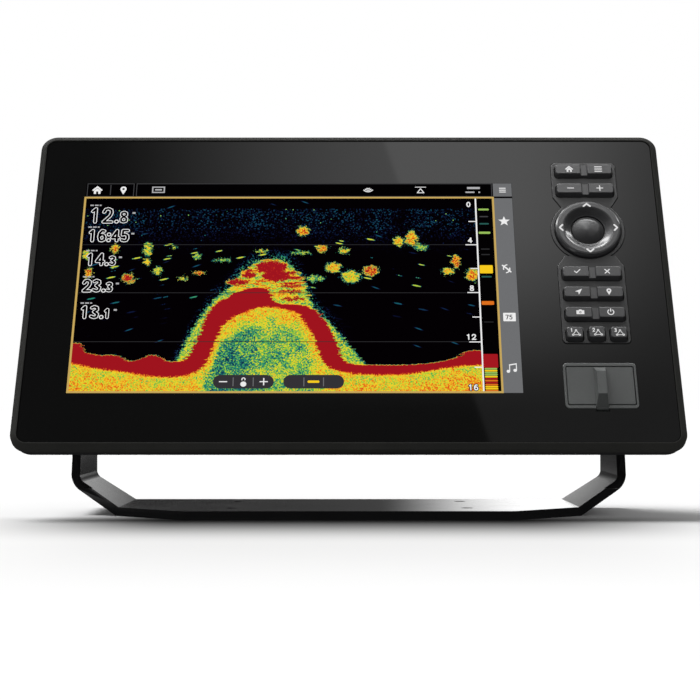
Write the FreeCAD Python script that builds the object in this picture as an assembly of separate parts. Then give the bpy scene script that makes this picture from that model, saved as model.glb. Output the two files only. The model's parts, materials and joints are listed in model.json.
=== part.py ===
"""A 9-inch console fish finder on a gimbal bracket, as separate pieces, one STEP file each.

Row frame, millimetres: +Z up, +X to the user's right, the screen faces -Y. The origin is the
centre of the four mounting holes on the underside of the bracket's base.

Head parts are drawn in a panel frame: X right, Z up the face, Y the depth behind the outer face
of the cover glass. seat_head() then leans them back about the pivot and sets them between the
bracket's arms.
"""

import FreeCAD
import Part
import math
import os

V = FreeCAD.Vector

# ---- Driving dimensions --------------------------------------------------------------------------
FACE_W, FACE_H, FACE_R = 292.0, 166.6, 7.5  # outer rim of the head
RIM = 3.0  # width of the rim round the glass
LEAN_DEG = 28.4  # how far the head leans back at rest
PIVOT_DEPTH = 30.0  # tilt axis behind the glass
PIVOT_Y, PIVOT_Z = 14.0, 90.0  # tilt axis in the row frame

ARM_INNER = 121.7  # half the clear width between the arms
STRIP = 4.0  # thickness of the bracket's strip
BASE_HALF = 102.9  # where the base's top face ends and the slant begins
SLANT_DEG = 32.2
BASE_FRONT, BASE_BACK = -47.3, 44.0
HOLE_X, HOLE_Y, HOLE_R = 105.0, 50.0, 2.6  # mounting hole pattern

SCREEN_X, SCREEN_W, SCREEN_H = -23.3, 199.2, 112.1  # active area, a 9-inch 16:9 display

KEY_X = 110.3  # centre line of the keypad
KEY_W, KEY_H = 27.0, 6.4
ROCKER_ROWS = {
    "home_menu_key": 61.9,
    "zoom_key": 51.0,
    "confirm_cancel_key": 4.9,
    "goto_mark_key": -5.9,
    "capture_power_key": -16.7,
}
PRESET_W, PRESET_H, PRESET_Z, PRESET_PITCH = 7.7, 6.6, -27.1, 9.75
CURSOR_Z = 29.2
CURSOR_R = 15.2

DOOR_X, DOOR_Z, DOOR_W, DOOR_H = 110.35, -52.5, 29.5, 19.1
BAY_W, BAY_H = 32.2, 22.8

# ---- Depths in the panel frame -------------------------------------------------------------------
RIM_FRONT = -0.5
GLASS_T = 1.8
DECK_FRONT, DECK_BACK = 2.0, 3.6  # the front frame's plate behind the glass
FLANGE_FRONT, FLANGE_FULL, FLANGE_BACK = 3.9, 6.8, 10.5
WALL = 2.6
BODY_MID, BODY_BACK = 42.0, 60.0
BOARD_FRONT, BOARD_T = 26.0, 1.6

PANEL_TOP, PANEL_UNDER = -0.4, 1.2
KEY_TOP = -2.6
KEY_FOOT_TOP, KEY_FOOT = 2.6, 3.4
MAT_TOP, MAT_BOTTOM = 5.4, 6.2
NUB_TOP = 4.4
KEYPAD_BOARD_BACK = 7.7

GAP = 0.05  # clearance between pieces that only touch
BOSS_FACE = 119.6  # outer face of each pivot boss

parts = {}


# ---- Drawing helpers -----------------------------------------------------------------------------
def rounded_wire(corners, place):
    """A closed wire through corners (a, b, radius); place(a, b) gives each point in space."""
    starts, middles, ends = [], [], []
    for i, (a, b, radius) in enumerate(corners):
        here = V(a, b, 0)
        before = (V(*corners[i - 1][:2], 0) - here).normalize()
        after = (V(*corners[(i + 1) % len(corners)][:2], 0) - here).normalize()
        half = before.getAngle(after) / 2
        inward = (before + after).normalize() if radius else V(0, 0, 0)
        reach = radius / math.tan(half)
        starts.append(here + before * reach)
        middles.append(here + inward * (radius / math.sin(half) - radius))
        ends.append(here + after * reach)
    to_space = [[place(p.x, p.y) for p in row] for row in (starts, middles, ends)]
    edges = []
    for i, (_, _, radius) in enumerate(corners):
        start, middle, end = (row[i] for row in to_space)
        following = to_space[0][(i + 1) % len(corners)]
        if radius:
            edges.append(Part.Arc(start, middle, end).toShape())
        if end.distanceToPoint(following) > 1e-6:
            edges.append(Part.LineSegment(end, following).toShape())
    return Part.Wire(Part.__sortEdges__(edges))


def rect(x, z, width, height, radius):
    """Corners of a rounded rectangle about (x, z)."""
    w, h = width / 2, height / 2
    return [(x + a * w, z + b * h, radius) for a, b in ((-1, -1), (1, -1), (1, 1), (-1, 1))]


def panel_wire(corners, y):
    return rounded_wire(corners, lambda a, b: V(a, y, b))


def prism(corners, y0, y1):
    """A straight block behind the panel's face, from depth y0 to depth y1."""
    return Part.Face(panel_wire(corners, y0)).extrude(V(0, y1 - y0, 0))


def stack(*sections):
    """A solid lofted through (corners, depth) sections, with flat sides between them."""
    return Part.makeLoft([panel_wire(corners, y) for corners, y in sections], True, True)


def rod(x, z, radius, y0, y1):
    """A round bar along the depth."""
    return Part.makeCylinder(radius, y1 - y0, V(x, y0, z), V(0, 1, 0))


def cross_rod(x0, x1, radius, y, z):
    """A round bar along X."""
    return Part.makeCylinder(radius, x1 - x0, V(x0, y, z), V(1, 0, 0))


def box(x0, x1, y0, y1, z0, z1):
    return Part.makeBox(x1 - x0, y1 - y0, z1 - z0, V(x0, y0, z0))


def turned(profile, x, z):
    """A solid of revolution about the depth axis through (x, z), from (radius, depth) points."""
    points = [V(x + r, y, z) for r, y in profile]
    face = Part.Face(Part.makePolygon(points + points[:1]))
    return face.revolve(V(x, 0, z), V(0, 1, 0), 360)


def edges_where(shape, test):
    """Edges whose two ends and middle all pass test(point)."""
    chosen = []
    for edge in shape.Edges:
        low, high = edge.ParameterRange
        samples = [edge.valueAt(low + (high - low) * t) for t in (0.0, 0.5, 1.0)]
        if all(test(p) for p in samples):
            chosen.append(edge)
    return chosen


def soften(shape, radius, test):
    return shape.makeFillet(radius, edges_where(shape, test))


def at_depth(y):
    return lambda p: abs(p.y - y) < 1e-3


def seat_head(shape):
    """Moves a head part from the panel frame into the row frame."""
    placed = shape.copy()
    placed.translate(V(0, -PIVOT_DEPTH, 0))
    placed.rotate(V(0, 0, 0), V(1, 0, 0), -LEAN_DEG)
    placed.translate(V(0, PIVOT_Y, PIVOT_Z))
    return placed


def head(name, *solids):
    parts[name] = [seat_head(s) for s in solids]


def mirrored(shape):
    return shape.mirror(V(0, 0, 0), V(1, 0, 0))


# ---- Gimbal bracket ------------------------------------------------------------------------------
ARM_TOP_R = 16.0
ARM_HOLE_R = 5.2


def bracket():
    """One strip folded up at each end: a deep flat base, a short slant and an arm on each side."""
    slant = math.radians(SLANT_DEG)
    knee_in = STRIP + (ARM_INNER - BASE_HALF) * math.tan(slant)
    knee_out = knee_in - STRIP * math.tan((math.pi / 2 - slant) / 2)
    heel = BASE_HALF + STRIP * math.tan(slant / 2)
    arm_outer = ARM_INNER + STRIP
    top = PIVOT_Z + ARM_TOP_R
    right = [
        (heel, 0, 2.5),
        (arm_outer, knee_out, 8.5),
        (arm_outer, top, 0),
        (ARM_INNER, top, 0),
        (ARM_INNER, knee_in, 4.0),
        (BASE_HALF, STRIP, 0.8),
    ]
    outline = right + [(-x, z, r) for x, z, r in reversed(right)]
    depth = BASE_BACK - BASE_FRONT
    strip = Part.Face(rounded_wire(outline, lambda a, b: V(a, BASE_FRONT, b))).extrude(V(0, depth, 0))

    # Seen from above, the base is deepest between the hole pairs and its front edge runs back to the arms.
    edge = [
        (72.0, BASE_FRONT, 6.0),
        (BASE_HALF, -19.4, 14.0),
        (arm_outer + 1, -8.5, 0),
        (arm_outer + 1, BASE_BACK, 0),
    ]
    plan = [(-x, y, r) for x, y, r in edge] + list(reversed(edge))
    above = Part.Face(rounded_wire(plan, lambda a, b: V(a, b, -1))).extrude(V(0, 0, top + 2))

    # Seen from the side, each arm narrows to a round eye on the tilt axis.
    side = [
        (BASE_FRONT - 1, -1, 0),
        (BASE_FRONT - 1, 12.0, 0),
        (-10.5, 12.0, 0),
        (PIVOT_Y - ARM_TOP_R, 44.0, 30.0),
        (PIVOT_Y - ARM_TOP_R, top, ARM_TOP_R - 0.1),
        (PIVOT_Y + ARM_TOP_R, top, ARM_TOP_R - 0.1),
        (PIVOT_Y + ARM_TOP_R, 78.0, 20.0),
        (BASE_BACK, 40.0, 30.0),
        (BASE_BACK, -1, 0),
    ]
    half = arm_outer + 2
    beside = Part.Face(rounded_wire(side, lambda a, b: V(-half, a, b))).extrude(V(2 * half, 0, 0))

    shape = strip.common(above).common(beside)
    for x in (-HOLE_X / 2, HOLE_X / 2):
        for y in (-HOLE_Y / 2, HOLE_Y / 2):
            shape = shape.cut(Part.makeCylinder(HOLE_R, STRIP + 2, V(x, y, -1)))
    return shape.cut(cross_rod(-half, half, ARM_HOLE_R, PIVOT_Y, PIVOT_Z))


parts["gimbal_bracket"] = [bracket()]


def arm_bush():
    """A nylon sleeve in the arm's eye, round the knob's stud."""
    outer = cross_rod(ARM_INNER, ARM_INNER + STRIP, ARM_HOLE_R - 0.02, PIVOT_Y, PIVOT_Z)
    return outer.cut(cross_rod(ARM_INNER - 1, ARM_INNER + STRIP + 1, 3.2, PIVOT_Y, PIVOT_Z))


parts["arm_bushes"] = [arm_bush(), mirrored(arm_bush())]

# ---- Front frame, glass and display --------------------------------------------------------------
GLASS_W, GLASS_H, GLASS_R = FACE_W - 2 * RIM, FACE_H - 2 * RIM, FACE_R - RIM
CELL_W, CELL_H = SCREEN_W + 7, SCREEN_H + 9
SCREW_SPOTS = [(x, z) for z in (-73.5, 73.5) for x in (-135.0, -48.0, 48.0, 135.0)]
SCREW_SPOTS += [(-136.0, 0.0), (136.0, 0.0)]


def keypad_outline(grow):
    """The keypad opening's three overlapping shapes, each as corners, larger by grow all round."""
    half = 15.15 + grow
    neck = 11.6 + grow
    upper = [
        (KEY_X - half, 67.3 + grow, 2.2),
        (KEY_X - half, 47.5, 1.5),
        (KEY_X - neck, 41.8, 0),
        (KEY_X + neck, 41.8, 0),
        (KEY_X + half, 47.5, 1.5),
        (KEY_X + half, 67.3 + grow, 2.2),
    ]
    lower = [
        (KEY_X - half, -31.3 - grow, 2.2),
        (KEY_X - half, 9.5, 1.5),
        (KEY_X - neck, 15.2, 0),
        (KEY_X + neck, 15.2, 0),
        (KEY_X + half, 9.5, 1.5),
        (KEY_X + half, -31.3 - grow, 2.2),
    ]
    return upper, lower, 17.0 + grow


def keypad_prism(grow, y0, y1):
    upper, lower, radius = keypad_outline(grow)
    shape = prism(upper, y0, y1).fuse(rod(KEY_X, CURSOR_Z, radius, y0, y1))
    shape = shape.fuse(prism(lower, y0, y1))
    return shape.removeSplitter()


def front_frame():
    """The front moulding: a rim that stands a little proud of the glass, and a deck behind it."""
    shape = prism(rect(0, 0, FACE_W, FACE_H, FACE_R), RIM_FRONT, DECK_BACK)
    shape = shape.makeChamfer(1.3, 2.4, edges_where(shape, at_depth(RIM_FRONT)))
    shape = shape.cut(prism(rect(0, 0, GLASS_W + 0.3, GLASS_H + 0.3, GLASS_R), RIM_FRONT - 1, DECK_FRONT))
    shape = shape.cut(prism(rect(SCREEN_X, 0, CELL_W + 1, CELL_H + 1, 1.5), 0, DECK_BACK + 1))
    shape = shape.cut(keypad_prism(2.0, 0, DECK_BACK + 1))
    shape = shape.cut(prism(rect(DOOR_X, DOOR_Z, BAY_W + 3, BAY_H + 3, 2.5), 0, DECK_BACK + 1))
    for x, z in SCREW_SPOTS:
        shape = shape.fuse(rod(x, z, 3.0, DECK_BACK - 0.5, 8.4))
        shape = shape.cut(rod(x, z, 1.5, DECK_FRONT + 0.6, 9.0))
    return shape


def cover_glass():
    """One pane over the whole face, with openings for the keypad and the card bay."""
    shape = prism(rect(0, 0, GLASS_W, GLASS_H, GLASS_R - 0.15), 0, GLASS_T)
    shape = soften(shape, 0.25, at_depth(0))
    shape = shape.cut(keypad_prism(0.2, -1, GLASS_T + 1))
    shape = shape.cut(prism(rect(DOOR_X, DOOR_Z, BAY_W + 0.3, BAY_H + 0.3, 2.0), -1, GLASS_T + 1))
    return shape.cut(box(DOOR_X - 3.1, DOOR_X + 3.1, -1, GLASS_T + 1, DOOR_Z - 12.9, DOOR_Z - 9))


head("front_frame", front_frame())
head("cover_glass", cover_glass())

tape_gap = 0.02
tape = prism(rect(0, 0, GLASS_W - 1, GLASS_H - 1, 4.0), GLASS_T + tape_gap, DECK_FRONT - tape_gap)
tape = tape.cut(prism(rect(0, 0, GLASS_W - 9, GLASS_H - 9, 2.0), 0, 5))
head("glass_tape", tape)

head("lcd_panel", prism(rect(SCREEN_X, 0, CELL_W, CELL_H, 0.6), GLASS_T + GAP, GLASS_T + 1.2))
head("lcd_backlight", prism(rect(SCREEN_X, 0, CELL_W, CELL_H, 1.0), GLASS_T + 1.25, 6.4))

# ---- Rear housing --------------------------------------------------------------------------------
FLANGE_W, FLANGE_H = FACE_W - 1.4, FACE_H - 0.8
BODY = [  # (width, height, corner radius, depth) of the rear body's outside
    (236.0, 126.0, 11.0, FLANGE_BACK - 0.5),
    (230.0, 121.0, 11.0, BODY_MID),
    (188.0, 88.0, 9.0, BODY_BACK),
]
BOARD_W, BOARD_H = 184.0, 92.0
STANDOFFS = [(x, z) for x in (-84.0, 84.0) for z in (-36.0, 36.0)]
SOCKETS = {"power_socket": -58.5, "sonar_socket": -19.5, "network_socket": 19.5, "accessory_socket": 58.5}
SOCKET_Z = -20.0
SOCKET_R, SOCKET_END = 9.0, 70.0
SEAL_W, SEAL_H = FACE_W - 7.4, FACE_H - 7.0


def frame_ring(width, height, radius, band, y0, y1):
    """A rectangular ring band wide, with rounded corners."""
    outer = prism(rect(0, 0, width, height, radius), y0, y1)
    inner = rect(0, 0, width - 2 * band, height - 2 * band, max(radius - band, 0.4))
    return outer.cut(prism(inner, y0 - 1, y1 + 1))


def body_sections(inset, front, back):
    """The rear body's loft, inset on every side."""
    (w0, h0, r0, _), (w1, h1, r1, y1), (w2, h2, r2, _) = BODY
    return stack(
        (rect(0, 0, w0 - 2 * inset, h0 - 2 * inset, r0 - inset), front),
        (rect(0, 0, w1 - 2 * inset, h1 - 2 * inset, r1 - inset), y1 - inset * 0.4),
        (rect(0, 0, w2 - 2 * inset, h2 - 2 * inset, r2 - inset), back),
    )


def rear_housing():
    flange = prism(rect(0, 0, FLANGE_W, FLANGE_H, 8.5), FLANGE_FRONT, FLANGE_FULL)
    taper = stack(
        (rect(0, 0, FLANGE_W, FLANGE_H, 8.5), FLANGE_FULL),
        (rect(0, 0, FLANGE_W - 6, FLANGE_H - 6, 6.5), FLANGE_BACK),
    )
    shape = flange.fuse(taper).fuse(body_sections(0, FLANGE_BACK - 0.5, BODY_BACK))
    for side in (-1, 1):  # pivot bosses
        x0, x1 = sorted((side * 104.0, side * BOSS_FACE))
        shape = shape.fuse(cross_rod(x0, x1, 15.0, PIVOT_DEPTH, 0))
    for i in range(13):  # cooling ribs over the upper back
        x = (i - 6) * 12.0
        rib = box(x - 0.9, x + 0.9, BODY_BACK - 3, BODY_BACK + 3.2, 2.0, 38.0)
        shape = shape.fuse(soften(rib, 0.7, at_depth(BODY_BACK + 3.2)))
    recess = rect(0, 0, FLANGE_W - 11, FLANGE_H - 11.4, 4.0)
    shape = shape.cut(prism(recess, FLANGE_FRONT - 1, FLANGE_BACK - 2))
    cavity = body_sections(WALL, FLANGE_BACK - 3, BODY_BACK - WALL)
    inner_bosses = [cross_rod(*sorted((s * 103.0, s * 119.0)), 9.0, PIVOT_DEPTH, 0) for s in (-1, 1)]
    for boss in inner_bosses:
        cavity = cavity.cut(boss)
    shape = shape.cut(cavity)
    for x, z in STANDOFFS:
        shape = shape.fuse(rod(x, z, 3.6, BOARD_FRONT + BOARD_T + GAP, BODY_BACK - WALL + 1))
        shape = shape.cut(rod(x, z, 1.3, BOARD_FRONT, BOARD_FRONT + 12))
    for side in (-1, 1):  # seats for the threaded inserts
        shape = shape.cut(cross_rod(*sorted((side * 102.0, side * 125.0)), 5.0, PIVOT_DEPTH, 0))
    for x, z in SCREW_SPOTS:
        shape = shape.cut(rod(x, z, 1.7, FLANGE_FRONT, 14.0))
        shape = shape.cut(rod(x, z, 3.2, FLANGE_BACK - 1.1, 14.0))
    for x in SOCKETS.values():
        shape = shape.cut(rod(x, SOCKET_Z, 6.6, BODY_BACK - 6, BODY_BACK + 6))
    shape = shape.cut(rod(VENT_X, VENT_Z, 3.05, BODY_BACK - 6, BODY_BACK + 6))
    groove = frame_ring(SEAL_W + 0.2, SEAL_H + 0.2, 5.0, 2.4, FLANGE_FRONT - 1, FLANGE_FRONT + 1.0)
    return shape.cut(groove)


VENT_X, VENT_Z = 78.0, 4.0
head("rear_housing", rear_housing())
head("housing_seal", frame_ring(SEAL_W, SEAL_H, 5.0, 2.2, DECK_BACK + 0.02, FLANGE_FRONT + 0.95))


def screw(x, z, seat, radius, head_radius, length):
    """A pan-head screw whose head bears at depth seat and whose shank runs forward from there."""
    shank = rod(x, z, radius, seat - length, seat + 0.1)
    cap = rod(x, z, head_radius, seat, seat + 1.6)
    cap = cap.makeFillet(0.7, edges_where(cap, at_depth(seat + 1.6)))
    slot = box(x - 1.3, x + 1.3, seat + 0.8, seat + 2, z - 0.3, z + 0.3)
    cross = box(x - 0.3, x + 0.3, seat + 0.8, seat + 2, z - 1.3, z + 1.3)
    return cap.fuse(shank).cut(slot).cut(cross).removeSplitter()


head("housing_screws", *[screw(x, z, FLANGE_BACK - 1.08, 1.4, 2.9, 6.0) for x, z in SCREW_SPOTS])
vent_cap = rod(VENT_X, VENT_Z, 5.0, BODY_BACK + GAP, BODY_BACK + 1.6)
vent_cap = vent_cap.makeFillet(0.5, edges_where(vent_cap, at_depth(BODY_BACK + 1.6)))
head("vent_plug", vent_cap.fuse(rod(VENT_X, VENT_Z, 3.0, BODY_BACK - 3.5, BODY_BACK + 0.5)))

# ---- Sockets on the back -------------------------------------------------------------------------
SOCKET_BORE, SOCKET_FLOOR = 7.4, 62.0


def socket(x):
    """A round keyed collar with a rear flange, held in its hole by a nut inside the housing."""
    shape = rod(x, SOCKET_Z, SOCKET_R, BODY_BACK + 0.6, SOCKET_END)
    shape = shape.makeChamfer(0.6, edges_where(shape, at_depth(SOCKET_END)))
    shape = shape.fuse(rod(x, SOCKET_Z, 6.5, BODY_BACK - 9, BODY_BACK + 1))
    shape = shape.cut(rod(x, SOCKET_Z, SOCKET_BORE, SOCKET_FLOOR, SOCKET_END + 1))
    key_top = SOCKET_Z + SOCKET_BORE + 0.5
    key = box(x - 1.0, x + 1.0, SOCKET_FLOOR - 0.5, SOCKET_END - 1.5, SOCKET_Z + 5.9, key_top)
    return shape.fuse(key)


PIN_R, PIN_CIRCLE = 0.8, 3.9
for socket_name, socket_x in SOCKETS.items():
    shell = socket(socket_x)
    pins = []
    for i in range(5):
        angle = math.radians(72 * i + 90)
        px = socket_x + PIN_CIRCLE * math.cos(angle)
        pz = SOCKET_Z + PIN_CIRCLE * math.sin(angle)
        shell = shell.cut(rod(px, pz, PIN_R + 0.02, BODY_BACK - 12, SOCKET_END))
        pin = rod(px, pz, PIN_R, BODY_BACK - 10.5, SOCKET_END - 2)
        pins.append(pin.makeFillet(0.5, edges_where(pin, at_depth(SOCKET_END - 2))))
    head(socket_name, shell)
    parts.setdefault("socket_pins", []).extend(seat_head(p) for p in pins)

SEAL_FRONT, SEAL_BACK = BODY_BACK + GAP, BODY_BACK + 0.55
ring_profile = [(6.75, SEAL_FRONT), (8.6, SEAL_FRONT), (8.6, SEAL_BACK), (6.75, SEAL_BACK)]
head("socket_seals", *[turned(ring_profile, x, SOCKET_Z) for x in SOCKETS.values()])
NUT_BACK, NUT_R = BODY_BACK - WALL - GAP, 9.4


def socket_nut(x):
    """A hexagon nut on the socket's threaded neck."""
    turns = [math.radians(60 * k) for k in range(6)]
    hexagon = [(x + NUT_R * math.cos(t), SOCKET_Z + NUT_R * math.sin(t), 0.6) for t in turns]
    return prism(hexagon, NUT_BACK - 3.2, NUT_BACK).cut(rod(x, SOCKET_Z, 6.55, 40, 70))


head("socket_nuts", *[socket_nut(x) for x in SOCKETS.values()])

# ---- Keypad --------------------------------------------------------------------------------------
KEY_CLEAR = 0.3
RIB_R = 0.8  # half-round rib under each two-ended key, which it rocks on


def key_cap(x, z, width, height, top):
    """One moulded key: a foot below the panel, a straight neck, and a cap whose lower side slopes most."""
    neck = prism(rect(x, z, width, height, 1.5), 0, KEY_FOOT)
    cap = stack(
        (rect(x, z, width, height, 1.5), 0),
        (rect(x, z + 0.45, width - 0.7, height - 1.1, 1.1), top),
    )
    cap = soften(cap, 0.45, at_depth(top))
    foot = prism(rect(x, z, width + 1.2, height + 1.2, 1.5), KEY_FOOT_TOP, KEY_FOOT)
    return cap.fuse(neck).fuse(foot)


def rocker(z):
    """A two-ended key with a shallow groove between its ends."""
    groove = [(-1.9, KEY_TOP - 0.3), (1.9, KEY_TOP - 0.3), (1.5, KEY_TOP + 1.0), (-1.5, KEY_TOP + 1.0)]
    points = [V(KEY_X + x, y, z - 5) for x, y in groove]
    channel = Part.Face(Part.makePolygon(points + points[:1])).extrude(V(0, 0, 10))
    channel = channel.makeFillet(0.5, edges_where(channel, at_depth(KEY_TOP + 1.0))[1::2])
    rib = Part.makeCylinder(RIB_R, 5.0, V(KEY_X, KEY_FOOT, z - 2.5), V(0, 0, 1))
    return key_cap(KEY_X, z, KEY_W, KEY_H, KEY_TOP).cut(channel).fuse(rib).removeSplitter()


def keypad_panel():
    """The matt panel the keys come through, with a foot that sits behind the glass."""
    shape = keypad_prism(0, PANEL_TOP, PANEL_UNDER + 0.01)
    shape = soften(shape, 0.3, at_depth(PANEL_TOP))
    wall = keypad_prism(0, PANEL_UNDER, 2.6).cut(keypad_prism(-0.6, 0, 4))
    foot = keypad_prism(1.5, GLASS_T + GAP, 2.6).cut(keypad_prism(-0.6, 0, 4))
    shape = shape.fuse(wall).fuse(foot)
    for z in ROCKER_ROWS.values():
        hole = rect(KEY_X, z, KEY_W + 2 * KEY_CLEAR, KEY_H + 2 * KEY_CLEAR, 1.5 + KEY_CLEAR)
        shape = shape.cut(prism(hole, -2, 2))
    for step in (-1, 0, 1):
        x = KEY_X + step * PRESET_PITCH
        hole = rect(x, PRESET_Z, PRESET_W + 2 * KEY_CLEAR, PRESET_H + 2 * KEY_CLEAR, 1.5 + KEY_CLEAR)
        shape = shape.cut(prism(hole, -2, 2))
    return shape.cut(rod(KEY_X, CURSOR_Z, CURSOR_R + 0.4, -2, 2)).removeSplitter()


head("keypad_panel", keypad_panel())
for key_name, key_z in ROCKER_ROWS.items():
    head(key_name, rocker(key_z))
for number, step in ((1, -1), (2, 0), (3, 1)):
    preset_x = KEY_X + step * PRESET_PITCH
    cap_top = KEY_TOP - (0.25 if step == 0 else 0)
    head(f"preset_key_{number}", key_cap(preset_x, PRESET_Z, PRESET_W, PRESET_H, cap_top))

# The cursor pad: a ring that rocks four ways about a gimbal ring, and a domed button in its middle.
BUTTON_R = 7.35
ring = [
    (7.8, KEY_FOOT),
    (15.9, KEY_FOOT),
    (15.9, KEY_FOOT_TOP),
    (CURSOR_R, KEY_FOOT_TOP),
    (CURSOR_R, -1.3),
    (CURSOR_R - 0.25, -1.95),
    (CURSOR_R - 0.85, -2.45),
    (CURSOR_R - 1.6, -2.6),
    (12.0, -2.6),
    (11.4, -2.45),
    (10.7, -2.1),
    (9.9, -1.6),
    (9.1, -1.1),
    (8.4, -0.7),
    (7.8, -0.5),
]
GIMBAL_Y = 4.45  # depth of the cursor pad's two tilt axes
TRUNNION_R = 0.3
SADDLE_IN, SADDLE_OUT, SADDLE_HALF = 10.95, 11.85, 1.1


def up_rod(radius, z0, z1):
    """A round bar up the face, on the cursor pad's roll axis."""
    return Part.makeCylinder(radius, z1 - z0, V(KEY_X, GIMBAL_Y, z0), V(0, 0, 1))


def cursor_ring():
    """The rocking ring, with a saddle above and below its centre for the gimbal's trunnions."""
    shape = turned(ring, KEY_X, CURSOR_Z)
    left, right = KEY_X - SADDLE_HALF, KEY_X + SADDLE_HALF
    for side in (-1, 1):
        z0, z1 = sorted((CURSOR_Z + side * SADDLE_IN, CURSOR_Z + side * SADDLE_OUT))
        saddle = box(left, right, KEY_FOOT - 0.1, GIMBAL_Y + 0.15, z0, z1)
        shape = shape.fuse(saddle.cut(up_rod(TRUNNION_R + 0.05, z0 - 1, z1 + 1)))
    return shape


def cursor_gimbal():
    """A flat ring with two trunnions across, which it pitches on, and two up the face for roll."""
    front, back = GIMBAL_Y - 0.25, GIMBAL_Y + 0.25
    shape = turned([(8.6, front), (10.8, front), (10.8, back), (8.6, back)], KEY_X, CURSOR_Z)
    for side in (-1, 1):
        near, far = sorted((side * 10.5, side * 11.6))
        shape = shape.fuse(cross_rod(KEY_X + near, KEY_X + far, TRUNNION_R, GIMBAL_Y, CURSOR_Z))
        shape = shape.fuse(up_rod(TRUNNION_R, CURSOR_Z + near, CURSOR_Z + far))
    return shape


head("cursor_ring", cursor_ring())
head("cursor_gimbal", cursor_gimbal())


def cursor_button():
    """A shallow dome on a stem."""
    rise, rim_depth = 1.9, -0.2
    sphere_r = (BUTTON_R**2 + rise**2) / (2 * rise)
    dome = Part.makeSphere(sphere_r, V(KEY_X, rim_depth - rise + sphere_r, CURSOR_Z))
    body = rod(KEY_X, CURSOR_Z, BUTTON_R, rim_depth - rise - 1, 2.4).common(dome)
    return body.fuse(rod(KEY_X, CURSOR_Z, 3.0, 2.2, 4.4))


head("cursor_button", cursor_button())


def press_points():
    """Where each key or pad direction presses its dome, as (x, z)."""
    spots = [(KEY_X + s * 8.6, z) for z in ROCKER_ROWS.values() for s in (-1, 1)]
    spots += [(KEY_X + s * PRESET_PITCH, PRESET_Z) for s in (-1, 0, 1)]
    spots += [(KEY_X + 13.4 * a, CURSOR_Z + 13.4 * b) for a, b in ((1, 0), (0, 1), (-1, 0), (0, -1))]
    return spots


def key_mat():
    """The silicone sheet under the keys, with a plunger at every press point."""
    shape = prism(rect(KEY_X, 18.0, 36.0, 103.0, 2.0), MAT_TOP, MAT_BOTTOM)
    for x, z in press_points():
        shape = shape.fuse(rod(x, z, 1.3, NUB_TOP, MAT_TOP + 0.1))
    for z in ROCKER_ROWS.values():  # the trough each two-ended key's rib rocks in
        trough = box(KEY_X - 1.4, KEY_X + 1.4, KEY_FOOT + 0.25, MAT_TOP + 0.1, z - 2.4, z + 2.4)
        hollow = Part.makeCylinder(RIB_R + 0.06, 6.0, V(KEY_X, KEY_FOOT, z - 3), V(0, 0, 1))
        shape = shape.fuse(trough.cut(hollow))
    low, high = CURSOR_Z - SADDLE_HALF, CURSOR_Z + SADDLE_HALF
    for side in (-1, 1):  # saddles for the gimbal's two trunnions across
        x0, x1 = sorted((KEY_X + side * SADDLE_IN, KEY_X + side * SADDLE_OUT))
        saddle = box(x0, x1, GIMBAL_Y - 0.15, MAT_TOP + 0.1, low, high)
        notch = cross_rod(x0 - 1, x1 + 1, TRUNNION_R + 0.05, GIMBAL_Y, CURSOR_Z)
        shape = shape.fuse(saddle.cut(notch))
    return shape.fuse(rod(KEY_X, CURSOR_Z, 2.0, 5.3, MAT_TOP + 0.1))


head("key_mat", key_mat())
head("keypad_board", prism(rect(KEY_X, 18.0, 36.0, 103.0, 1.0), MAT_BOTTOM + 0.3, KEYPAD_BOARD_BACK))
dome_profile = [(0.0, 6.22), (1.4, 6.3), (2.2, 6.48), (0.0, 6.48)]
head("key_domes", *[turned(dome_profile, x, z) for x, z in press_points() + [(KEY_X, CURSOR_Z)]])

# ---- Card bay and its door -----------------------------------------------------------------------
HINGE_Z = DOOR_Z - DOOR_H / 2 - 1.1
HINGE_Y = 0.7
KNUCKLE_R, HINGE_PIN_R = 1.0, 0.5
KNUCKLE_HALF = 2.6
DOOR_LIFT = 0.25  # the flap's lower edge clears the border as it swings
SLOT_XS = (DOOR_X - 10.5, DOOR_X - 4.5)
BAY_FLOOR = 7.0
CARD_L, CARD_H, CARD_T = 15.0, 11.0, 1.0


def card_bay():
    """A tub with a raised border; two cards go in through slots in its floor."""
    shape = prism(rect(DOOR_X, DOOR_Z, BAY_W, BAY_H, 1.9), -0.3, 2.6)
    shape = soften(shape, 0.35, at_depth(-0.3))
    shape = shape.fuse(prism(rect(DOOR_X, DOOR_Z, BAY_W + 2.4, BAY_H + 2.4, 2.2), GLASS_T + GAP, 2.6))
    shape = shape.fuse(prism(rect(DOOR_X, DOOR_Z, BAY_W - 0.6, BAY_H - 2.0, 1.6), 2.0, 8.0))
    mouth = rect(DOOR_X, DOOR_Z, DOOR_W + 0.6, DOOR_H + 0.6, 0.9)
    shape = shape.cut(prism(mouth, -1, 2.7))
    shape = shape.cut(prism(rect(DOOR_X, DOOR_Z, DOOR_W - 1.5, DOOR_H - 1.5, 0.9), 2, BAY_FLOOR))
    for x in SLOT_XS:
        shape = shape.cut(prism(rect(x, DOOR_Z, CARD_T + 0.5, CARD_H + 0.5, 0.2), 5, 9))
    gap_half = KNUCKLE_HALF + 0.25
    shape = shape.cut(box(DOOR_X - gap_half, DOOR_X + gap_half, -1, 2.0, HINGE_Z - 3, HINGE_Z + 2))
    return shape.cut(cross_rod(DOOR_X - 6.5, DOOR_X + 6.5, HINGE_PIN_R, HINGE_Y, HINGE_Z))


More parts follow.
